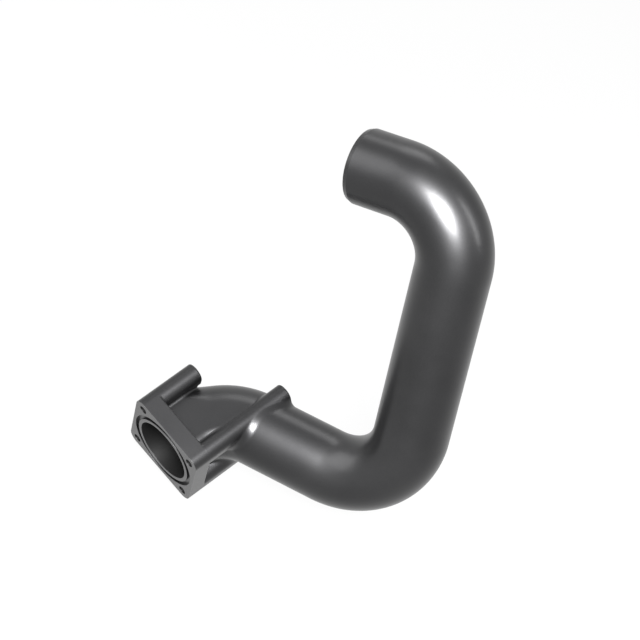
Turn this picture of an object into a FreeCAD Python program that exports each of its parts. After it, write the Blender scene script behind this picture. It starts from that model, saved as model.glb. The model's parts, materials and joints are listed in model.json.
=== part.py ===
import FreeCAD, Part
import math
import os

# Aftercooler elbow: one aluminium casting. A square bolted flange opens into a round pipe
# that turns into a lower run, climbs a long riser and turns back to a plain hose end.
# Frame: origin at the middle of the flange's machined face, +Z up the riser, +X along the
# lower run as seen from above. Lengths are millimetres, angles are degrees.

# Pipe
pipe_diameter = 88.9
pipe_wall = 4.45
hose_chamfer_depth = 2.0
hose_chamfer_length = 5.5

# Pipe route, from corner to corner before the corners are rounded
flange_to_first_corner = 86.4
lower_run_length = 241.9
riser_length = 401.8
hose_run_length = 139.2
first_bend_radius = 76.0
second_bend_radius = 87.0
third_bend_radius = 80.0
lower_run_fall = 3.8
hose_run_fall = 6.0
hose_run_swing = 5.9

# Flange attitude: where its inner axis points, and its turn about that axis
flange_rise = 24.6
flange_swing = 22.7
flange_clocking = 23.9

# Flange plate
flange_side = 110.0
flange_thickness = 23.0
plate_edge_round = 2.0
seal_groove_diameter = 95.0
seal_groove_width = 5.5
seal_groove_depth = 3.5

# Bolt columns behind the plate, with the longer pair on the side that the pipe bends towards
bolt_circle = 120.0
bolt_hole_diameter = 11.0
short_column_length = 80.0
long_column_length = 148.0
column_depth = 31.5
sleeve_wall = 4.5
plate_root_fillet = 5.0

pipe_radius = pipe_diameter / 2
bore_radius = pipe_radius - pipe_wall
bolt_offset = bolt_circle / math.sqrt(8)
column_radius = flange_side / 2 - bolt_offset
origin = FreeCAD.Vector(0, 0, 0)
up = FreeCAD.Vector(0, 0, 1)
cut_overrun = 5.0


def heading(azimuth, elevation):
    flat = math.cos(math.radians(elevation))
    east = flat * math.cos(math.radians(azimuth))
    north = flat * math.sin(math.radians(azimuth))
    return FreeCAD.Vector(east, north, math.sin(math.radians(elevation)))


def flange_placement():
    # Flange axes: x to its long-column side, y to its lower edge, z into the part
    inward = heading(90 - flange_swing, flange_rise)
    level = inward.cross(up).normalize()
    clock = FreeCAD.Rotation(inward, flange_clocking)
    side = clock.multVec(level)
    return FreeCAD.Placement(origin, FreeCAD.Rotation(side, inward.cross(side), inward, "ZXY"))


def route():
    inward = heading(90 - flange_swing, flange_rise)
    first_corner = inward * flange_to_first_corner
    second_corner = first_corner + heading(0, -lower_run_fall) * lower_run_length
    third_corner = second_corner + up * riser_length
    hose_end = third_corner + heading(180 - hose_run_swing, -hose_run_fall) * hose_run_length
    return [origin, first_corner, second_corner, third_corner, hose_end]


def disc(centre, normal, radius, seam):
    circle = Part.Circle(centre, normal, radius)
    circle.XAxis = seam
    return Part.Face(Part.Wire(circle.toShape()))


def swept_round(points, radius):
    # Straight runs joined by tangent bends, all of one round section, seamed inside each bend
    runs = []
    start = points[0]
    bends = [first_bend_radius, second_bend_radius, third_bend_radius]
    for corner, after, bend_radius in zip(points[1:], points[2:], bends):
        back = (start - corner).normalize()
        ahead = (after - corner).normalize()
        half_angle = back.getAngle(ahead) / 2
        setback = bend_radius / math.tan(half_angle)
        enter = corner + back * setback
        middle = corner + (back + ahead).normalize() * (bend_radius / math.sin(half_angle))
        turn = 180 - math.degrees(2 * half_angle)
        seam = middle - enter
        runs.append(disc(start, enter - start, radius, seam).extrude(enter - start))
        runs.append(disc(enter, back, radius, seam).revolve(middle, ahead.cross(back), turn))
        start = corner + ahead * setback
    runs.append(disc(start, points[-1] - start, radius, seam).extrude(points[-1] - start))
    return runs[0].fuse(runs[1:]).removeSplitter()


def rounded_plate():
    half = flange_side / 2
    plate = Part.makeBox(flange_side, flange_side, flange_thickness, FreeCAD.Vector(-half, -half, 0))
    corners = [edge for edge in plate.Edges if edge.tangentAt(edge.FirstParameter).z ** 2 > 0.5]
    plate = plate.makeFillet(column_radius, corners)
    back_edges = [edge for edge in plate.Edges if edge.BoundBox.ZMin > flange_thickness / 2]
    return plate.makeFillet(plate_edge_round, back_edges)


def bolt_places():
    for side in (-1, 1):
        length = long_column_length if side > 0 else short_column_length
        for edge in (-1, 1):
            yield FreeCAD.Vector(side * bolt_offset, edge * bolt_offset, 0), edge, length


def bolt_column(place, edge, length):
    # A slot-shaped column: round over the bolt, straight flanks, round again at its root
    reach = FreeCAD.Vector(0, -edge * (column_depth - 2 * column_radius), 0)
    across = FreeCAD.Vector(column_radius, 0, 0)
    outer = Part.Arc(place - across, place + FreeCAD.Vector(0, edge * column_radius, 0), place + across)
    root = place + reach
    inner = Part.Arc(root + across, root - FreeCAD.Vector(0, edge * column_radius, 0), root - across)
    flanks = [
        Part.LineSegment(place + across, root + across),
        Part.LineSegment(root - across, place - across),
    ]
    outline = Part.Wire([outer.toShape(), flanks[0].toShape(), inner.toShape(), flanks[1].toShape()])
    return Part.Face(outline).extrude(FreeCAD.Vector(0, 0, length))


def bolt_bars(radius, overrun):
    return [
        Part.makeCylinder(radius, length + 2 * overrun, place - FreeCAD.Vector(0, 0, overrun))
        for place, edge, length in bolt_places()
    ]


def seal_groove():
    outer = Part.makeCylinder(seal_groove_diameter / 2 + seal_groove_width / 2, seal_groove_depth)
    return outer.cut(Part.makeCylinder(seal_groove_diameter / 2 - seal_groove_width / 2, seal_groove_depth))


def on_flange(shapes):
    place_flange = flange_placement()
    for shape in shapes:
        shape.Placement = place_flange.multiply(shape.Placement)
    return shapes


def plate_root():
    # A concave ring that eases the back of the plate into the pipe
    foot = FreeCAD.Vector(pipe_radius, 0, flange_thickness)
    rim = foot + FreeCAD.Vector(plate_root_fillet, 0, 0)
    crest = foot + FreeCAD.Vector(0, 0, plate_root_fillet)
    hollow = rim + FreeCAD.Vector(0, 0, plate_root_fillet)
    waist = hollow - (FreeCAD.Vector(1, 0, 1) * (plate_root_fillet / math.sqrt(2)))
    sunk = FreeCAD.Vector(-pipe_wall / 2, 0, 0)
    buried = FreeCAD.Vector(0, 0, -flange_thickness / 2)
    outline = Part.makePolygon([crest, crest + sunk, foot + sunk + buried, rim + buried, rim])
    section = Part.Wire(outline.Edges + [Part.Arc(rim, waist, crest).toShape()])
    return Part.Face(section).revolve(origin, up, 360)


def outer_form():
    points = route()
    inward = heading(90 - flange_swing, flange_rise)
    outward = (points[-1] - points[-2]).normalize()
    chamfer_start = points[-1] - outward * hose_chamfer_length
    inside_plate = inward * (flange_thickness / 2)
    pipe = swept_round([inside_plate] + points[1:-1] + [chamfer_start], pipe_radius)
    lead_radius = pipe_radius - hose_chamfer_depth
    lead = Part.makeCone(pipe_radius, lead_radius, hose_chamfer_length, chamfer_start, outward)
    columns = [bolt_column(*spot) for spot in bolt_places()]
    flange = rounded_plate().fuse(columns + [plate_root()]).removeSplitter()
    return pipe.fuse([lead] + on_flange([flange]))


def air_passage():
    # The bolt holes of the long columns cross the pipe inside sleeves that stay solid
    points = route()
    inward = heading(90 - flange_swing, flange_rise)
    outward = (points[-1] - points[-2]).normalize()
    mouth = points[0] - inward * cut_overrun
    core = swept_round([mouth] + points[1:-1] + [points[-1] + outward * cut_overrun], bore_radius)
    return core.cut(on_flange(bolt_bars(bolt_hole_diameter / 2 + sleeve_wall, 0)))


def casting():
    cuts = on_flange(bolt_bars(bolt_hole_diameter / 2, cut_overrun) + [seal_groove()])
    return outer_form().cut([air_passage()] + cuts)


os.makedirs("parts", exist_ok=True)
elbow = casting()
print("elbow casting: valid", elbow.isValid(), "solids", len(elbow.Solids), "volume", round(elbow.Volume))
elbow.exportStep("parts/elbow_casting.step")
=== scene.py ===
import json
import math

import bmesh
import bpy
import numpy as np
from mathutils import Matrix, Vector


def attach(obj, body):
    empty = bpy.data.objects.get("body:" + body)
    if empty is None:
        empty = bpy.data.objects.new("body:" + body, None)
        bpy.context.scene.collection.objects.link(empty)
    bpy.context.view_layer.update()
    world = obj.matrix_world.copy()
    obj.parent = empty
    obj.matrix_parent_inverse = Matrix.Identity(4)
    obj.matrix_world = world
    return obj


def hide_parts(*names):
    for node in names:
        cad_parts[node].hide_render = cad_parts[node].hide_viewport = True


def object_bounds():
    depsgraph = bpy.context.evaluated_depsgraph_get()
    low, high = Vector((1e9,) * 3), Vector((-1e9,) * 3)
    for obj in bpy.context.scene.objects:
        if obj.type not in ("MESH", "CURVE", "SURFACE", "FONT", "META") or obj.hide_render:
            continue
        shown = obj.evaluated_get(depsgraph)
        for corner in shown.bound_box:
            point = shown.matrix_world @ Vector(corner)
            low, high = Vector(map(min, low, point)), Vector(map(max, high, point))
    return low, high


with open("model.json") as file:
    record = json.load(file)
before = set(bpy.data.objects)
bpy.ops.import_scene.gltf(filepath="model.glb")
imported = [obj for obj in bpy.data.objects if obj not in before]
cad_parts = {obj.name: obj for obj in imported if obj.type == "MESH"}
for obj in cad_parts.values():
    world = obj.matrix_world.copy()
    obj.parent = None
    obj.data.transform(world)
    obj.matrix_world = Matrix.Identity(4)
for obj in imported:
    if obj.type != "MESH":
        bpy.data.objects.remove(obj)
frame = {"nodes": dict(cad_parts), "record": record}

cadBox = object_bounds()
mounts = {m["name"]: m for m in frame["record"]["mounts"]}
print("frame loaded:", sorted(frame["nodes"]))

# The casting's own sizes, in metres and degrees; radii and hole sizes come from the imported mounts
casting = {
    "cornerAfterFlange": 0.0864,
    "lowerRun": 0.2419,
    "riser": 0.4018,
    "hoseRun": 0.1392,
    "bends": (0.076, 0.087, 0.080),
    "lowerRunFall": 3.8,
    "hoseRunFall": 6.0,
    "hoseRunSwing": 5.9,
    "flangeRise": 24.6,
    "flangeSwing": 22.7,
    "flangeClocking": 23.9,
    "flangeSide": 0.110,
    "plateThickness": 0.023,
    "plateEdgeRound": 0.0012,
    "columnLengths": (0.080, 0.148),
    "columnDepth": 0.0315,
    "columnEdgeRound": 0.0014,
    "shortFillet": 0.0045,      # along the short columns
    "innerFillet": 0.0024,      # along the long columns, on the side of the pipe's crown
    "outerFillet": 0.0085,      # along the long columns, on their outer side
    "plateFillet": 0.0015,
    "neckCorner": 0.014,        # rounding of the flat-topped neck beside the upper long column
    "neckOuterCorner": 0.020,   # the same beside the upper short column
    "neckHold": 0.45,           # share of the first bend where one shape ends and the other starts to ease
    "sleeveWall": 0.0045,
    "grooveDiameter": 0.095,
    "grooveWidth": 0.0055,
    "grooveDepth": 0.0035,
    "hoseChamferDepth": 0.002,
    "hoseChamferLength": 0.0055,
    "pipeRadius": mounts["hose_end"]["dims"]["r_mm"] / 1000,
    "boreRadius": mounts["flange_bore"]["dims"]["r_mm"] / 1000,
    "boltCircle": mounts["flange_bolts"]["dims"]["pcd_mm"] / 1000,
    "boltHoleRadius": mounts["flange_bolts"]["dims"]["hole_r_mm"] / 1000,
}
skinMesh = {
    "voxel": 0.0030,         # first even mesh over the outer form
    "projectSteps": 8,       # times the points are pulled onto the true surface
    "evenSteps": 4,          # of those, the first ones that also even the points out
    "refinements": 2,
    "turn": 9.0,             # degrees between neighbours that call for a finer mesh
    "overrun": 0.006,
    "aroundPipe": 96,
    "bendSteps": 40,
    "aroundHole": 48,
    "aroundRing": 160,
    "runStep": 0.012,        # spacing of the path's points on straight runs
    "pullLimit": 0.004,      # longest move of a point in one pull
    "leastSlope": 0.2,       # floor under the field's slope where two forms meet
    "levelSlack": 1e-9,      # square metres
    "tiny": 1e-12,
    "lipSpare": 0.0015,      # how far the lip's cutter and its crisp edges run on
    "sharpFrom": 32.0,       # degrees between faces that keep a crisp edge
    "lipSharpFrom": 12.0,    # the same at the hose end, where the chamfer is shallow
}
boltOffset = casting["boltCircle"] / math.sqrt(8)
columnRadius = casting["flangeSide"] / 2 - boltOffset


def heading(azimuth, elevation):
    az = math.radians(azimuth)
    el = math.radians(elevation)
    return np.array([math.cos(el) * math.cos(az), math.cos(el) * math.sin(az), math.sin(el)])


def unit(v):
    return v / np.linalg.norm(v)


up = np.array([0.0, 0.0, 1.0])
inward = heading(90 - casting["flangeSwing"], casting["flangeRise"])
levelSide = unit(np.cross(inward, up))
clock = math.radians(casting["flangeClocking"])
flangeRight = levelSide * math.cos(clock) + np.cross(inward, levelSide) * math.sin(clock)
flangeDown = np.cross(inward, flangeRight)
flangeAxes = np.stack([flangeRight, flangeDown, inward])     # rows: right, down, into the part


def routeCorners():
    first = inward * casting["cornerAfterFlange"]
    second = first + heading(0, -casting["lowerRunFall"]) * casting["lowerRun"]
    third = second + up * casting["riser"]
    end = third + heading(180 - casting["hoseRunSwing"], -casting["hoseRunFall"]) * casting["hoseRun"]
    return [np.zeros(3), first, second, third, end]


def routePieces(startExtra, endExtra):
    # straight stretches and tangent arcs of the pipe's middle line
    corners = routeCorners()
    outward = unit(corners[-1] - corners[-2])
    corners[0] = corners[0] - inward * startExtra
    corners[-1] = corners[-1] + outward * endExtra
    pieces = []
    start = corners[0]
    for corner, after, radius in zip(corners[1:], corners[2:], casting["bends"]):
        back = unit(start - corner)
        ahead = unit(after - corner)
        half = math.acos(np.clip(back @ ahead, -1, 1)) / 2
        setback = radius / math.tan(half)
        enter = corner + back * setback
        middle = corner + unit(back + ahead) * (radius / math.sin(half))
        pieces.append(("line", start, enter))
        pieces.append(("arc", middle, unit(enter - middle), -back, radius, math.pi - 2 * half))
        start = corner + ahead * setback
    pieces.append(("line", start, corners[-1]))
    return pieces


def routePoints(pieces):
    # points and directions along the middle line, close together in the bends
    points = []
    for piece in pieces:
        if piece[0] == "line":
            along = unit(piece[2] - piece[1])
            length = np.linalg.norm(piece[2] - piece[1])
            steps = max(2, int(length / skinMesh["runStep"]))
            points += [(piece[1] + along * (length * i / steps), along) for i in range(steps)]
        else:
            kind, middle, out, along, radius, turn = piece
            for i in range(skinMesh["bendSteps"]):
                a = turn * i / skinMesh["bendSteps"]
                spoke = out * math.cos(a) + along * math.sin(a)
                points.append((middle + spoke * radius, along * math.cos(a) - out * math.sin(a)))
    points.append((pieces[-1][2], unit(pieces[-1][2] - pieces[-1][1])))
    return points


def pipeField(p, pieces):
    # every field gives the distance to its surface and the direction away from it
    best = np.full(len(p), 1e9)
    away = np.zeros_like(p)
    for place, piece in enumerate(pieces):
        if piece[0] == "line":
            span = piece[2] - piece[1]
            share = np.clip((p - piece[1]) @ span / (span @ span), 0, 1)
            near = piece[1] + share[:, None] * span
            turned = np.zeros(len(p))
        else:
            kind, middle, out, along, radius, turn = piece
            rel = p - middle
            turned = np.clip(np.arctan2(rel @ along, rel @ out), 0, turn)
            near = middle + radius * (np.cos(turned)[:, None] * out + np.sin(turned)[:, None] * along)
        diff = p - near
        dist = np.linalg.norm(diff, axis=1)
        outward = diff / np.maximum(dist, skinMesh["tiny"])[:, None]
        dist = dist - casting["pipeRadius"]
        if place < 2:
            dist, outward = flatTopped(diff, turned, pieces[1], dist, outward)
        closer = dist < best
        best[closer] = dist[closer]
        away[closer] = outward[closer]
    return best, away


def flatTopped(diff, turned, bend, dist, outward):
    # from the flange into the first bend, the top of the section runs flat towards the columns
    kind, middle, out, along, radius, turn = bend
    top = np.cross(out, along)
    top = top * -np.sign(top @ flangeDown)
    inner = -(np.cos(turned)[:, None] * out + np.sin(turned)[:, None] * along)
    x = (diff * inner).sum(1)
    y = diff @ top
    hold = casting["neckHold"]
    late = np.where(x > 0, (turned / turn - hold) / (1 - hold), turned / turn / hold)
    late = np.clip(late, 0, 1)
    late = late * late * (3 - 2 * late)
    full = casting["pipeRadius"]
    tight = np.where(x > 0, casting["neckCorner"], casting["neckOuterCorner"])
    corner = tight + (full - tight) * late
    overX = np.abs(x) - (full - corner)
    overY = y - (full - corner)
    reach = np.hypot(np.maximum(overX, 0), np.maximum(overY, 0))
    squared = reach + np.minimum(np.maximum(overX, overY), 0) - corner
    rounded = reach > 0
    shareX = np.where(rounded, np.maximum(overX, 0) / np.maximum(reach, skinMesh["tiny"]), overX >= overY)
    shareY = np.where(rounded, np.maximum(overY, 0) / np.maximum(reach, skinMesh["tiny"]), overX < overY)
    # level with this stretch, not past its ends
    beside = (diff ** 2).sum(1) - x * x - y * y < skinMesh["levelSlack"]
    there = (y > 0) & beside
    direction = (shareX * np.sign(x))[:, None] * inner + shareY[:, None] * top
    return np.where(there, squared, dist), np.where(there[:, None], direction, outward)


def extrusionField(flat, flatAway, depth, high, edge):
    # a flat outline pushed from in front of the flange to high, its end edges rounded
    low = -2 * skinMesh["overrun"]
    side = flat + edge
    end = np.maximum(low - depth, depth - high) + edge
    facing = np.where(depth - high > low - depth, 1.0, -1.0)
    outside = np.hypot(np.maximum(side, 0), np.maximum(end, 0))
    beyond = outside > 0
    share = np.where(beyond, np.maximum(side, 0) / np.maximum(outside, skinMesh["tiny"]), side > end)
    rise = np.where(beyond, np.maximum(end, 0) / np.maximum(outside, skinMesh["tiny"]), side <= end)
    dist = np.where(beyond, outside, np.maximum(side, end)) - edge
    away = np.concatenate([flatAway * share[:, None], (rise * facing)[:, None]], axis=1)
    return dist, away @ flangeAxes


def plateField(p):
    q = p @ flangeAxes.T
    over = np.abs(q[:, :2]) - (casting["flangeSide"] / 2 - columnRadius)
    corner = np.maximum(over, 0)
    reach = np.linalg.norm(corner, axis=1)
    flat = reach + np.minimum(over.max(1), 0) - columnRadius
    widest = np.stack([over[:, 0] >= over[:, 1], over[:, 0] < over[:, 1]], axis=1)
    direction = np.where(reach[:, None] > 0, corner / np.maximum(reach, skinMesh["tiny"])[:, None], widest)
    thick = casting["plateThickness"]
    return extrusionField(flat, direction * np.sign(q[:, :2]), q[:, 2], thick, casting["plateEdgeRound"])


def columnField(p, side, edge):
    q = p @ flangeAxes.T
    length = casting["columnLengths"][1 if side > 0 else 0]
    depth = casting["columnDepth"] - 2 * columnRadius
    sunk = np.clip((edge * boltOffset - q[:, 1]) * edge, 0, depth)
    x = q[:, 0] - side * boltOffset
    y = q[:, 1] - edge * boltOffset + edge * sunk
    reach = np.maximum(np.hypot(x, y), skinMesh["tiny"])
    direction = np.stack([x, y], axis=1) / reach[:, None]
    return extrusionField(reach - columnRadius, direction, q[:, 2], length, casting["columnEdgeRound"])


def columnsField(p):
    best, away = columnField(p, -1, -1)
    for side, edge in ((-1, 1), (1, -1), (1, 1)):
        dist, other = columnField(p, side, edge)
        away = np.where((dist < best)[:, None], other, away)
        best = np.minimum(best, dist)
    return best, away


def filletJoin(first, second, fillet):
    # joins two forms with a concave round, which fades where their faces run flush
    a, awayA = first
    b, awayB = second
    facing = np.clip((awayA * awayB).sum(1), 0, 1)
    size = fillet * (1 - facing ** 2) + 1e-7
    u = np.maximum(size - a, 0)
    v = np.maximum(size - b, 0)
    span = np.hypot(u, v)
    blend = (u > 0) & (v > 0)
    dist = np.where(blend, np.maximum(size, np.minimum(a, b)) - span, np.minimum(a, b))
    plain = np.where((a < b)[:, None], awayA, awayB)
    mixed = (u[:, None] * awayA + v[:, None] * awayB) / np.maximum(span, skinMesh["tiny"])[:, None]
    return dist, np.where(blend[:, None], mixed, plain)


def columnFillet(p):
    # small beside the pipe's crown, large where a long column stands out from the pipe's flank
    place = p @ flangeRight
    past = np.clip((place - boltOffset) / columnRadius * 0.5 + 0.5, 0, 1)
    past = past * past * (3 - 2 * past)
    inner = np.where(place < 0, casting["shortFillet"], casting["innerFillet"])
    return inner + (casting["outerFillet"] - inner) * past


def outerForm(pieces):
    def field(p):
        columned = filletJoin(pipeField(p, pieces), columnsField(p), columnFillet(p))
        return filletJoin(columned, plateField(p), np.full(len(p), casting["plateFillet"]))
    return field


# Node sockets as Python values, for shader and geometry trees
class Socket:
    def __init__(self, tree, out):
        self.tree = tree
        self.out = out

    def node(self, kind, settings=None, inputs=None, output=0):
        made = self.tree.nodes.new(kind)
        for key, value in (settings or {}).items():
            if key == "stops":
                ramp = made.color_ramp.elements
                while len(ramp) < len(value):
                    ramp.new(0.5)
                for stop, (at, shade) in zip(ramp, value):
                    stop.position = at
                    stop.color = shade
            else:
                setattr(made, key, value)
        for key, value in (inputs or {}).items():
            if isinstance(value, Socket):
                self.tree.links.new(value.out, made.inputs[key])
            else:
                made.inputs[key].default_value = value
        return Socket(self.tree, made.outputs[output])

    def math(self, operation, other=0.0, swap=False):
        pair = (other, self) if swap else (self, other)
        return self.node("ShaderNodeMath", {"operation": operation}, {0: pair[0], 1: pair[1]})

    def __add__(self, other):
        return self.math("ADD", other)

    def __radd__(self, other):
        return self.math("ADD", other, True)

    def __sub__(self, other):
        return self.math("SUBTRACT", other)

    def __rsub__(self, other):
        return self.math("SUBTRACT", other, True)

    def __mul__(self, other):
        return self.math("MULTIPLY", other)

    def __rmul__(self, other):
        return self.math("MULTIPLY", other, True)


castMetal = {
    "dark": (0.019, 0.019, 0.020, 1),
    "light": (0.034, 0.034, 0.035, 1),
    "inside": (0.012, 0.012, 0.012, 1),     # painted shade: a darker colour for the passage and the bolt holes, standing in for the shade inside them
    "machined": (0.054, 0.054, 0.055, 1),   # flange face
    "roughness": 0.42,
    "roughSpread": 0.10,
    "insideRoughness": 0.30,                # added inside
    "insideFades": (0.040, 0.057),          # depths from the flange, short of the bend's outer skin
    "faceDepth": 0.0004,                    # what counts as the flange face
    "boreMargin": 0.0006,
    "boltMargin": 0.0003,
    "metallic": 1.0,
    "coat": 0.38,                           # clear protective film
    "coatRoughness": 0.28,
    "cloudScale": 9.0,
    "cloudDetail": 4.0,
    "cloudShare": 0.7,
    "grainScale": 900.0,
    "grainDetail": 2.0,
    "rampEnds": (0.3, 0.7),
    "grainHeight": 0.00006,
    "toolPitch": 0.0009,                    # spacing of the facing marks
    "toolHeight": 0.000012,
    "bumpStrength": 0.35,
}


def castMetalFinish():
    mat = bpy.data.materials.new("castMetal")
    mat.use_nodes = True
    tree = mat.node_tree
    shader = tree.nodes["Principled BSDF"]
    coord = Socket(tree, tree.nodes.new("ShaderNodeTexCoord").outputs["Object"])

    def along(axis):
        inputs = {0: coord, 1: tuple(axis)}
        return coord.node("ShaderNodeVectorMath", {"operation": "DOT_PRODUCT"}, inputs, "Value")

    def noise(name):
        inputs = {"Vector": coord, "Scale": castMetal[name + "Scale"], "Detail": castMetal[name + "Detail"]}
        return coord.node("ShaderNodeTexNoise", {}, inputs)

    # zones: the flange face, the bore up to the bend, and the bolt holes
    aside, down, depth = along(flangeRight), along(flangeDown), along(inward)
    fromAxis = (aside * aside + down * down).math("SQRT")
    boltX = aside.math("ABSOLUTE") - boltOffset
    boltY = down.math("ABSOLUTE") - boltOffset
    fromBolt = (boltX * boltX + boltY * boltY).math("SQRT")
    behindFace = depth.math("GREATER_THAN", castMetal["faceDepth"])
    inBore = fromAxis.math("LESS_THAN", casting["boreRadius"] + castMetal["boreMargin"])
    inBolt = fromBolt.math("LESS_THAN", casting["boltHoleRadius"] + castMetal["boltMargin"])
    beforeEnd = depth.math("LESS_THAN", casting["columnLengths"][1] - castMetal["faceDepth"])
    fadeFrom, fadeTo = castMetal["insideFades"]
    fade = {"Value": depth, "From Min": fadeFrom, "From Max": fadeTo, "To Min": 1.0, "To Max": 0.0}
    beforeBend = coord.node("ShaderNodeMapRange", {}, fade)
    # painted shade: the passage near the flange and the bolt holes take the darker inside colour in place of
    # their shade; roughness rises there too
    inside = (inBore * beforeBend).math("MAXIMUM", inBolt * beforeEnd) * behindFace
    onFace = 1.0 - behindFace

    # colour, with painted shade inside the passage and the bolt holes, and roughness
    cloud = noise("cloud")
    grain = noise("grain")
    shade = cloud * castMetal["cloudShare"] + grain * (1 - castMetal["cloudShare"])
    stops = list(zip(castMetal["rampEnds"], (castMetal["dark"], castMetal["light"])))
    skinColour = coord.node("ShaderNodeValToRGB", {"stops": stops}, {"Fac": shade})
    faced = coord.node("ShaderNodeMixRGB", {}, {0: onFace, 1: skinColour, 2: castMetal["machined"]})
    colour = coord.node("ShaderNodeMixRGB", {}, {0: inside, 1: faced, 2: castMetal["inside"]})
    rough = castMetal["roughness"] + (shade - 0.5) * castMetal["roughSpread"]
    rough = rough + inside * castMetal["insideRoughness"]

    # grain of the casting and tool marks on the flange face
    marks = (fromAxis * (2 * math.pi / castMetal["toolPitch"])).math("SINE")
    height = grain * castMetal["grainHeight"] * behindFace + marks * castMetal["toolHeight"] * onFace
    relief = {"Height": height, "Strength": castMetal["bumpStrength"], "Distance": 1.0}
    bump = coord.node("ShaderNodeBump", {}, relief)
    tree.links.new(colour.out, shader.inputs["Base Color"])
    tree.links.new(rough.out, shader.inputs["Roughness"])
    tree.links.new(bump.out, shader.inputs["Normal"])
    shader.inputs["Metallic"].default_value = castMetal["metallic"]
    shader.inputs["Coat Weight"].default_value = castMetal["coat"]
    shader.inputs["Coat Roughness"].default_value = castMetal["coatRoughness"]
    return mat


castMetalLook = castMetalFinish()


def partTree(name, sizes):
    # an empty tree with one geometry input and named inputs for its sizes
    tree = bpy.data.node_groups.new(name, "GeometryNodeTree")
    tree.interface.new_socket("Places", in_out="INPUT", socket_type="NodeSocketGeometry")
    for label, kind in sizes.items():
        tree.interface.new_socket(label, in_out="INPUT", socket_type=kind)
    tree.interface.new_socket("Mesh", in_out="OUTPUT", socket_type="NodeSocketGeometry")
    given = tree.nodes.new("NodeGroupInput")
    return tree, {s.name: Socket(tree, s) for s in given.outputs if s.name}


def endTree(tree, shape):
    real = shape.node("GeometryNodeRealizeInstances", {}, {"Geometry": shape})
    done = shape.node("GeometryNodeSetMaterial", {}, {"Geometry": real, "Material": castMetalLook})
    tree.links.new(done.out, tree.nodes.new("NodeGroupOutput").inputs[0])
    return tree


def tubeTree():
    # a capped round tube along a path
    tree, given = partTree("tubeAlongPath", {"Radius": "NodeSocketFloat", "Around": "NodeSocketInt"})
    path = given["Places"].node("GeometryNodeMeshToCurve", {}, {"Mesh": given["Places"]})
    section = {"Radius": given["Radius"], "Resolution": given["Around"]}
    ring = path.node("GeometryNodeCurvePrimitiveCircle", {}, section)
    swept = {0: path, "Profile Curve": ring, "Fill Caps": True}
    return endTree(tree, path.node("GeometryNodeCurveToMesh", {}, swept))


def barTree():
    # one round bar at each place, turned to stand along the flange's axis
    sizes = {"Radius": "NodeSocketFloat", "Length": "NodeSocketFloat", "Around": "NodeSocketInt"}
    tree, given = partTree("barsAtPlaces", sizes)
    places = given["Places"]
    shape = {"Radius": given["Radius"], "Depth": given["Length"], "Vertices": given["Around"]}
    bar = places.node("GeometryNodeMeshCylinder", {}, shape)
    turn = Matrix(flangeAxes.tolist()).transposed().to_euler()
    spread = {"Points": places, "Instance": bar, "Rotation": turn}
    return endTree(tree, places.node("GeometryNodeInstanceOnPoints", {}, spread))


tubes = tubeTree()
bars = barTree()


def grown(tree, points, edges, sizes):
    # runs a tree on points and gives its result as a plain mesh
    mesh = bpy.data.meshes.new(tree.name)
    mesh.from_pydata([tuple(p) for p in points], edges, [])
    obj = bpy.data.objects.new(tree.name, mesh)
    modifier = obj.modifiers.new(tree.name, "NODES")
    modifier.node_group = tree
    for item in tree.interface.items_tree:
        if item.name in sizes:
            modifier[item.identifier] = sizes[item.name]
    bpy.context.scene.collection.objects.link(obj)
    applied(obj)
    mesh = obj.data
    bpy.data.objects.remove(obj)
    return mesh


def addTube(bm, pieces, radius):
    points = [point for point, along in routePoints(pieces)]
    edges = [(i, i + 1) for i in range(len(points) - 1)]
    bm.from_mesh(grown(tubes, points, edges, {"Radius": radius, "Around": skinMesh["aroundPipe"]}))


def addBars(bm, radius, reach, low, high):
    # a bar per column, reach above or below the flange's middle, from low to high past the column's end
    for side, length in zip((-1, 1), casting["columnLengths"]):
        middle = (low + length + high) / 2
        places = [np.array([side * boltOffset, edge * reach, middle]) @ flangeAxes for edge in (-1, 1)]
        sizes = {"Radius": radius, "Length": length + high - low, "Around": skinMesh["aroundHole"]}
        bm.from_mesh(grown(bars, places, [], sizes))


def ringCutter(bm, centre, axis, profile):
    # a closed profile of (radius, height) points, turned about an axis
    side = unit(np.cross(axis, up))
    other = np.cross(axis, side)
    around = skinMesh["aroundRing"]
    loops = []
    for i in range(around):
        a = 2 * math.pi * i / around
        spoke = side * math.cos(a) + other * math.sin(a)
        loops.append([bm.verts.new(centre + spoke * r + axis * h) for r, h in profile])
    for i, loop in enumerate(loops):
        following = loops[(i + 1) % around]
        for j in range(len(profile)):
            k = (j + 1) % len(profile)
            bm.faces.new((loop[j], loop[k], following[k], following[j]))


def meshObject(name, bm):
    bmesh.ops.recalc_face_normals(bm, faces=bm.faces[:])
    mesh = bpy.data.meshes.new(name)
    bm.to_mesh(mesh)
    bm.free()
    obj = bpy.data.objects.new(name, mesh)
    bpy.context.scene.collection.objects.link(obj)
    return obj


def applied(obj):
    # the evaluated mesh in place of the modifiers
    graph = bpy.context.evaluated_depsgraph_get()
    mesh = bpy.data.meshes.new_from_object(obj.evaluated_get(graph))
    obj.modifiers.clear()
    obj.data = mesh
    return obj


def roughForm(pieces):
    low = -skinMesh["overrun"]
    half = casting["flangeSide"] / 2
    thick = casting["plateThickness"]
    bm = bmesh.new()
    addTube(bm, pieces, casting["pipeRadius"])
    addBars(bm, columnRadius, boltOffset, low, 0)
    addBars(bm, columnRadius, boltOffset - casting["columnDepth"] + 2 * columnRadius, low, 0)
    size = Matrix.Diagonal((2 * half, 2 * half, thick - low, 1))
    turn = Matrix(flangeAxes.tolist()).transposed().to_4x4()
    place = Matrix.Translation(inward * (thick + low) / 2)
    bmesh.ops.create_cube(bm, size=1, matrix=place @ turn @ size)
    return meshObject("elbowSkin", bm)


def coords(mesh):
    co = np.empty(len(mesh.vertices) * 3)
    mesh.vertices.foreach_get("co", co)
    return co.reshape(-1, 3)


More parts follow.
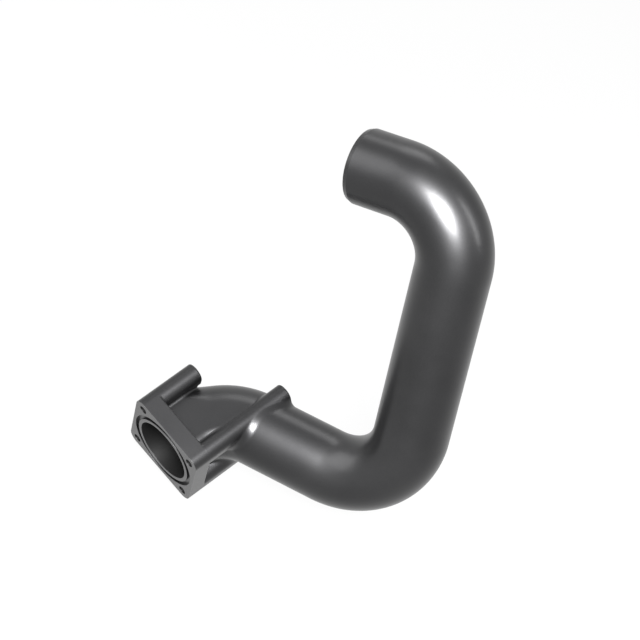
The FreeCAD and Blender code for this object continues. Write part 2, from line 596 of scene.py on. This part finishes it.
def pullOnto(mesh, field):
    # evens the points out along the surface and moves them onto it
    p = coords(mesh)
    pairs = edgePairs(mesh)
    count = np.bincount(pairs.ravel(), minlength=len(p))[:, None]
    for i in range(skinMesh["projectSteps"]):
        if i < skinMesh["evenSteps"]:
            total = np.zeros_like(p)
            for axis in range(3):
                total[:, axis] = np.bincount(pairs[:, 0], p[pairs[:, 1], axis], len(p))
                total[:, axis] += np.bincount(pairs[:, 1], p[pairs[:, 0], axis], len(p))
            p = 0.5 * p + 0.5 * total / count
        dist, away = field(p)
        steep = np.maximum((away ** 2).sum(1), skinMesh["leastSlope"])
        step = np.clip(dist, -skinMesh["pullLimit"], skinMesh["pullLimit"]) / steep
        p = p - step[:, None] * away
    mesh.vertices.foreach_set("co", p.ravel())
    mesh.update()


def edgePairs(mesh):
    pairs = np.empty(len(mesh.edges) * 2, dtype=np.int64)
    mesh.edges.foreach_get("vertices", pairs)
    return pairs.reshape(-1, 2)


def refine(mesh, field):
    # halves the mesh size wherever the surface turns quickly from one point to the next
    dist, away = field(coords(mesh))
    away = away / np.maximum(np.linalg.norm(away, axis=1, keepdims=True), 1e-9)
    pairs = edgePairs(mesh)
    alike = (away[pairs[:, 0]] * away[pairs[:, 1]]).sum(1)
    sharp = alike < math.cos(math.radians(skinMesh["turn"]))
    bm = bmesh.new()
    bm.from_mesh(mesh)
    bm.edges.ensure_lookup_table()
    faces = {f for i in np.flatnonzero(sharp) for f in bm.edges[i].link_faces}
    around = {g for f in faces for v in f.verts for g in v.link_faces}
    chosen = {e for f in around for e in f.edges}
    edges = [e for e in bm.edges if e in chosen]
    bmesh.ops.subdivide_edges(bm, edges=edges, cuts=1, use_grid_fill=True)
    bm.to_mesh(mesh)
    bm.free()


def sliceEnd(mesh, point, normal):
    # cuts the form flat at one end and closes it there
    bm = bmesh.new()
    bm.from_mesh(mesh)
    faces = [f for f in bm.faces if (f.calc_center_median() - point).length < casting["flangeSide"]]
    verts = {v for f in faces for v in f.verts}
    edges = {e for f in faces for e in f.edges}
    geom = [v for v in bm.verts if v in verts] + [e for e in bm.edges if e in edges] + faces
    bmesh.ops.bisect_plane(bm, geom=geom, plane_co=point, plane_no=normal, clear_outer=True)
    rim = [e for e in bm.edges if e.is_boundary]
    bmesh.ops.holes_fill(bm, edges=rim, sides=0)
    bm.to_mesh(mesh)
    bm.free()


def airCore():
    # the passage, less the sleeves that carry the long bolts across it
    over = skinMesh["overrun"]
    bm = bmesh.new()
    addTube(bm, routePieces(over, over), casting["boreRadius"])
    core = meshObject("airCore", bm)
    bm = bmesh.new()
    addBars(bm, casting["boltHoleRadius"] + casting["sleeveWall"], boltOffset, over, over)
    cutAway(core, meshObject("sleeves", bm))
    return core


def cutAway(obj, tool):
    cut = obj.modifiers.new("cut", "BOOLEAN")
    cut.operation = "DIFFERENCE"
    cut.solver = "EXACT"
    cut.object = tool
    applied(obj)
    bpy.data.objects.remove(tool)


def machining():
    # every cut that leaves a crisp edge: passage, bolt holes, seal groove and hose chamfer
    over = skinMesh["overrun"]
    core = airCore()
    bm = bmesh.new()
    bm.from_mesh(core.data)
    bpy.data.objects.remove(core)
    addBars(bm, casting["boltHoleRadius"], boltOffset, -over, over)
    inner = casting["grooveDiameter"] / 2 - casting["grooveWidth"] / 2
    outer = inner + casting["grooveWidth"]
    depth = casting["grooveDepth"]
    ringCutter(bm, np.zeros(3), inward, [(inner, -over), (outer, -over), (outer, depth), (inner, depth)])
    corners = routeCorners()
    outward = unit(corners[-1] - corners[-2])
    taper = casting["hoseChamferDepth"] / casting["hoseChamferLength"]
    spare = skinMesh["lipSpare"]
    big = casting["pipeRadius"] + casting["hoseChamferDepth"]
    start = -casting["hoseChamferLength"]
    thin = casting["pipeRadius"] - casting["hoseChamferDepth"] - spare * taper
    back = start - (big - casting["pipeRadius"]) / taper
    ringCutter(bm, corners[-1], outward, [(big, back), (big, spare), (thin, spare)])
    return meshObject("machining", bm)


def crispLip(mesh, end, outward):
    # keeps the edges of the hose end's shallow chamfer crisp
    bm = bmesh.new()
    bm.from_mesh(mesh)
    reach = casting["hoseChamferLength"] + skinMesh["lipSpare"]
    for e in bm.edges:
        middle = (np.array(e.verts[0].co) + np.array(e.verts[1].co)) / 2 - end
        if -reach < middle @ outward and np.linalg.norm(middle) < casting["flangeSide"] / 2:
            e.smooth = e.calc_face_angle(0) < math.radians(skinMesh["lipSharpFrom"])
    bm.to_mesh(mesh)
    bm.free()


def buildSkin():
    pieces = routePieces(0, skinMesh["overrun"])
    field = outerForm(pieces)
    skin = roughForm(pieces)
    remesh = skin.modifiers.new("even", "REMESH")
    remesh.mode = "VOXEL"
    remesh.voxel_size = skinMesh["voxel"]
    applied(skin)
    print("skin: even mesh", len(skin.data.vertices))
    pullOnto(skin.data, field)
    for i in range(skinMesh["refinements"]):
        refine(skin.data, field)
        pullOnto(skin.data, field)
        print("skin: refined", len(skin.data.vertices))
    corners = routeCorners()
    sliceEnd(skin.data, Vector((0, 0, 0)), Vector(-inward))
    sliceEnd(skin.data, Vector(corners[-1]), Vector(unit(corners[-1] - corners[-2])))
    cutAway(skin, machining())
    print("skin: cut", len(skin.data.vertices), "faces", len(skin.data.polygons))
    for poly in skin.data.polygons:
        poly.use_smooth = True
    skin.data.set_sharp_from_angle(angle=math.radians(skinMesh["sharpFrom"]))
    crispLip(skin.data, corners[-1], unit(corners[-1] - corners[-2]))
    return skin


elbowSkin = buildSkin()
elbowSkin.data.name = "elbowSkin"


elbowSkin.data.materials.clear()
elbowSkin.data.materials.append(castMetalLook)
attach(elbowSkin, "root")
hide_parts("elbow_casting")
print("finish: cast metal")

# The photograph's view, as a fit of its outline gave it
view = {
    "right": (0.8817, 0.4307, 0.1924),
    "toward": (0.2915, -0.8181, 0.4957),
    "distance": 3.0793,
    "frameWidth": 0.7591,
    "flangePixel": (162.8, 450.4),     # where the flange's middle lies in the 640 x 640 frame
    "framePixels": 640,
    "sensor": 36.0,
    "clipEnd": 30.0,
}


def placeCamera():
    toward = Vector(view["toward"]).normalized()
    right = Vector(view["right"])
    right = (right - toward * right.dot(toward)).normalized()
    above = toward.cross(right)
    perPixel = view["frameWidth"] / view["framePixels"]
    middle = view["framePixels"] / 2
    aside = (middle - view["flangePixel"][0]) * perPixel
    rise = (view["flangePixel"][1] - middle) * perPixel
    data = bpy.data.cameras.new("photoView")
    data.sensor_width = view["sensor"]
    data.lens = view["sensor"] * view["distance"] / view["frameWidth"]
    data.clip_end = view["clipEnd"]
    cam = bpy.data.objects.new("photoView", data)
    cam.matrix_world = Matrix.Translation(right * aside + above * rise + toward * view["distance"]) @ Matrix(
        (right, above, toward)).transposed().to_4x4()
    bpy.context.scene.collection.objects.link(cam)
    bpy.context.scene.camera = cam
    return right, above, toward


right, above, toward = placeCamera()

studio = {
    "floorDrop": 0.004,
    "floorSize": 14.0,
    "floorShade": (0.32, 0.32, 0.32, 1),
    "floorRoughness": 0.9,
    "floorGlow": 0.88,          # share of white that the camera and the metal see in the floor
    "worldLevel": 1.0,
    # each lamp: way to it (right, up, towards the camera), distance, width, height, power
    "lamps": {
        "headlight": ((0.08, 0.03, 1.0), 3.4, 1.5, 1.5, 800.0),
        "leftBox": ((-0.72, 0.55, 0.42), 2.4, 2.0, 2.0, 46.0),
        "rightStrip": ((0.88, 0.20, 0.42), 2.4, 0.35, 1.6, 23.0),
        "topBox": ((0.18, 0.98, 0.0), 2.4, 1.2, 0.8, 14.0),
    },
}


def whiteForCamera(tree, plain, level):
    # the camera and the metal see white; what else lights the part stays at its plain level
    path = tree.nodes.new("ShaderNodeLightPath")
    camera = Socket(tree, path.outputs["Is Camera Ray"])
    seen = camera.math("MAXIMUM", Socket(tree, path.outputs["Is Glossy Ray"])) * level
    white = tree.nodes.new("ShaderNodeEmission")
    mix = tree.nodes.new("ShaderNodeMixShader")
    tree.links.new(seen.out, mix.inputs[0])
    tree.links.new(plain, mix.inputs[1])
    tree.links.new(white.outputs[0], mix.inputs[2])
    return mix.outputs[0]


def addFloor():
    size = studio["floorSize"]
    low = cadBox[0][2] - studio["floorDrop"]
    mesh = bpy.data.meshes.new("floor")
    corners = [(-size, -size, low), (size, -size, low), (size, size, low), (-size, size, low)]
    mesh.from_pydata(corners, [], [(0, 1, 2, 3)])
    floor = bpy.data.objects.new("floor", mesh)
    bpy.context.scene.collection.objects.link(floor)
    mat = bpy.data.materials.new("floorPaint")
    mat.use_nodes = True
    tree = mat.node_tree
    paint = tree.nodes["Principled BSDF"]
    paint.inputs["Base Color"].default_value = studio["floorShade"]
    paint.inputs["Roughness"].default_value = studio["floorRoughness"]
    seen = whiteForCamera(tree, paint.outputs[0], studio["floorGlow"])
    tree.links.new(seen, tree.nodes["Material Output"].inputs["Surface"])
    mesh.materials.append(mat)


def addLight():
    world = bpy.data.worlds.new("studio")
    bpy.context.scene.world = world
    world.use_nodes = True
    tree = world.node_tree
    sky = tree.nodes["Background"]
    sky.inputs["Color"].default_value = (1, 1, 1, 1)
    sky.inputs["Strength"].default_value = studio["worldLevel"]
    middle = (Vector(cadBox[0]) + Vector(cadBox[1])) / 2
    for name, (way, distance, width, height, power) in studio["lamps"].items():
        lamp = bpy.data.lights.new(name, "AREA")
        lamp.shape = "RECTANGLE"
        lamp.size = width
        lamp.size_y = height
        lamp.energy = power
        box = bpy.data.objects.new(name, lamp)
        aim = (right * way[0] + above * way[1] + toward * way[2]).normalized()
        box.location = middle + aim * distance
        box.rotation_euler = aim.to_track_quat("Z", "Y").to_euler()
        bpy.context.scene.collection.objects.link(box)


addFloor()
addLight()
bpy.context.scene.view_settings.view_transform = "Standard"
print("studio: floor, world and lamps")
